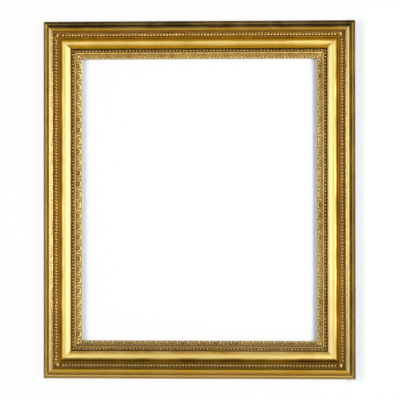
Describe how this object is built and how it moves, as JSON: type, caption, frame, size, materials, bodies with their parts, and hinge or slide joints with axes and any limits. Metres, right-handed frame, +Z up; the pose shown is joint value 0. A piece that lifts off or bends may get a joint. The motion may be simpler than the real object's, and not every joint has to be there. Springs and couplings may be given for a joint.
{
  "type": "ornate gilded picture frame",
  "caption": "Rectangular gilded picture frame with a raised outer edge, ribbon-set hollow, broad burnished cushion, pearl and leaf sight ornament, open rebate, hanging rings and turn buttons.",
  "frame": {"origin": "Middle of the opening, on the plane of the back face that is turned to the wall.", "axes": "+X to the right as seen from the front, +Y into the wall, so that the gilded front faces -Y, +Z up."},
  "size_m": [0.6526, 0.0527, 0.7486],
  "materials": {
    "gilded_moulding": "gold leaf over red-brown bole on gessoed wood, burnished on the cushion and toned in the hollows",
    "gilded_composition": "gold leaf over bole on cast composition, matt and toned dark in its recesses",
    "aged_pine": "bare pine darkened with age",
    "hardwood": "bare hardwood",
    "steel_screws": "dulled steel",
    "brass": "aged brass"
  },
  "bodies": {
    "frame": {"back_rail_bottom": "aged_pine", "back_rail_top": "aged_pine", "back_stile_left": "aged_pine", "back_stile_right": "aged_pine", "button_screws": "brass", "corner_leaf_bottom_left": "gilded_composition", "corner_leaf_bottom_right": "gilded_composition", "corner_leaf_top_left": "gilded_composition", "corner_leaf_top_right": "gilded_composition", "face_moulding_bottom": "gilded_moulding", "face_moulding_left": "gilded_moulding", "face_moulding_right": "gilded_moulding", "face_moulding_top": "gilded_moulding", "frame_screws": "steel_screws", "hanger_plate_left": "brass", "hanger_plate_right": "brass", "hanger_screws": "brass", "lap_pegs": "hardwood", "leaf_strip_bottom": "gilded_composition", "leaf_strip_left": "gilded_composition", "leaf_strip_right": "gilded_composition", "leaf_strip_top": "gilded_composition", "mitre_keys": "hardwood", "pearl_string_bottom": "gilded_composition", "pearl_string_left": "gilded_composition", "pearl_string_right": "gilded_composition", "pearl_string_top": "gilded_composition", "ribbon_strip_bottom": "gilded_composition", "ribbon_strip_left": "gilded_composition", "ribbon_strip_right": "gilded_composition", "ribbon_strip_top": "gilded_composition", "sight_moulding_bottom": "gilded_moulding", "sight_moulding_left": "gilded_moulding", "sight_moulding_right": "gilded_moulding", "sight_moulding_top": "gilded_moulding"},
    "hanger_ring_left": {"hanger_ring_left": "brass"},
    "hanger_ring_right": {"hanger_ring_right": "brass"},
    "turn_button_left_lower": {"turn_button_left_lower": "brass"},
    "turn_button_left_upper": {"turn_button_left_upper": "brass"},
    "turn_button_right_lower": {"turn_button_right_lower": "brass"},
    "turn_button_right_upper": {"turn_button_right_upper": "brass"}
  },
  "joints": [
    {"name": "hanger_ring_left_swing", "type": "hinge", "parent": "frame", "child": "hanger_ring_left", "pos_m": [-0.2843, 0.00335, 0.2493], "axis": [1, 0, 0], "range_deg": [0, 180]},
    {"name": "hanger_ring_right_swing", "type": "hinge", "parent": "frame", "child": "hanger_ring_right", "pos_m": [0.2843, 0.00335, 0.2493], "axis": [1, 0, 0], "range_deg": [0, 180]},
    {"name": "turn_button_left_upper_swivel", "type": "hinge", "parent": "frame", "child": "turn_button_left_upper", "pos_m": [-0.2625, 0.0011, 0.15], "axis": [0, 1, 0], "continuous": true},
    {"name": "turn_button_left_lower_swivel", "type": "hinge", "parent": "frame", "child": "turn_button_left_lower", "pos_m": [-0.2625, 0.0011, -0.15], "axis": [0, 1, 0], "continuous": true},
    {"name": "turn_button_right_upper_swivel", "type": "hinge", "parent": "frame", "child": "turn_button_right_upper", "pos_m": [0.2625, 0.0011, 0.15], "axis": [0, 1, 0], "continuous": true},
    {"name": "turn_button_right_lower_swivel", "type": "hinge", "parent": "frame", "child": "turn_button_right_lower", "pos_m": [0.2625, 0.0011, -0.15], "axis": [0, 1, 0], "continuous": true}
  ]
}
